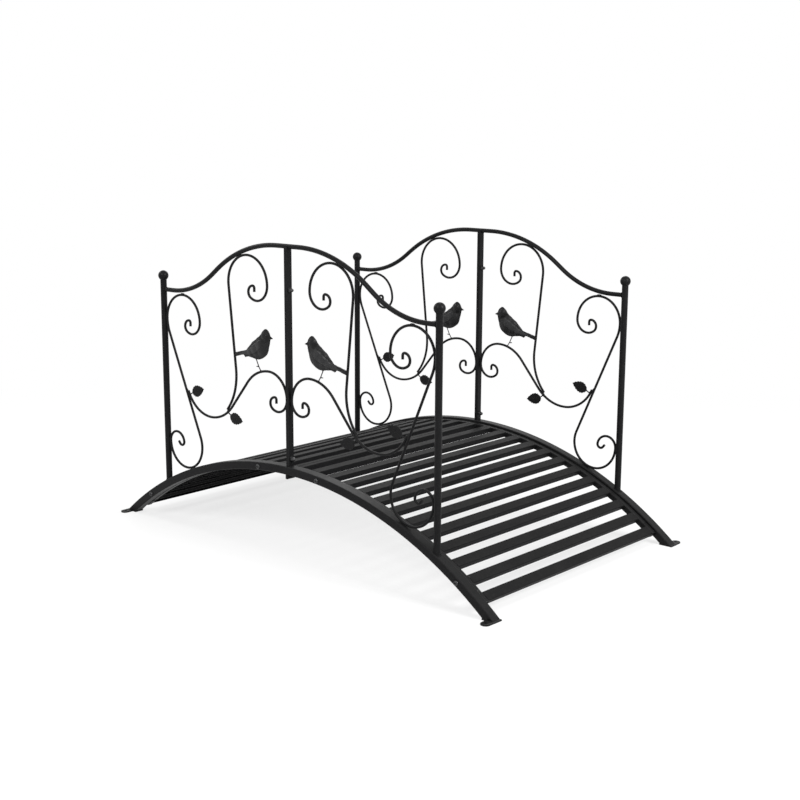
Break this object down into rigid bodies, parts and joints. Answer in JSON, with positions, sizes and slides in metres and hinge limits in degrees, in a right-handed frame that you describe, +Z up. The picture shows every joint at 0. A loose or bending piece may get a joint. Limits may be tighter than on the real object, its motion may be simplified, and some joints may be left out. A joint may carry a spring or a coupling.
{
  "type": "arched garden bridge",
  "caption": "Small arched steel garden bridge with a slatted walkway and scrolled railings with bird and leaf ornaments.",
  "frame": {"origin": "on the ground at the middle of the bridge, below the crown of the arch", "axes": "+X along the bridge, +Y across it, +Z up"},
  "size_m": [1.015, 0.6366, 0.608],
  "materials": {
    "frame": "satin black powder coat",
    "walkway": "satin black powder coat",
    "railing": "satin black powder coat",
    "scrollwork": "satin black powder coat",
    "ornament": "satin black powder coat"
  },
  "bodies": {
    "root": {"front_left_arch_bar": "frame", "front_left_side_rail": "frame", "front_left_end_post": "railing", "front_left_top_rail": "railing", "front_left_centre_upright": "railing", "front_left_post_scroll": "scrollwork", "front_left_branch_scroll": "scrollwork", "front_left_hook_scroll": "scrollwork", "front_left_bird": "ornament", "front_left_leaves": "ornament", "front_right_arch_bar": "frame", "front_right_side_rail": "frame", "front_right_end_post": "railing", "front_right_top_rail": "railing", "front_right_centre_upright": "railing", "front_right_post_scroll": "scrollwork", "front_right_branch_scroll": "scrollwork", "front_right_hook_scroll": "scrollwork", "front_right_bird": "ornament", "front_right_leaves": "ornament", "rear_left_arch_bar": "frame", "rear_left_side_rail": "frame", "rear_left_end_post": "railing", "rear_left_top_rail": "railing", "rear_left_centre_upright": "railing", "rear_left_post_scroll": "scrollwork", "rear_left_branch_scroll": "scrollwork", "rear_left_hook_scroll": "scrollwork", "rear_left_bird": "ornament", "rear_left_leaves": "ornament", "rear_right_arch_bar": "frame", "rear_right_side_rail": "frame", "rear_right_end_post": "railing", "rear_right_top_rail": "railing", "rear_right_centre_upright": "railing", "rear_right_post_scroll": "scrollwork", "rear_right_branch_scroll": "scrollwork", "rear_right_hook_scroll": "scrollwork", "rear_right_bird": "ornament", "rear_right_leaves": "ornament", "left_deck_slats": "walkway", "left_crown_bar": "walkway", "right_deck_slats": "walkway", "right_crown_bar": "walkway"}
  },
  "joints": []
}
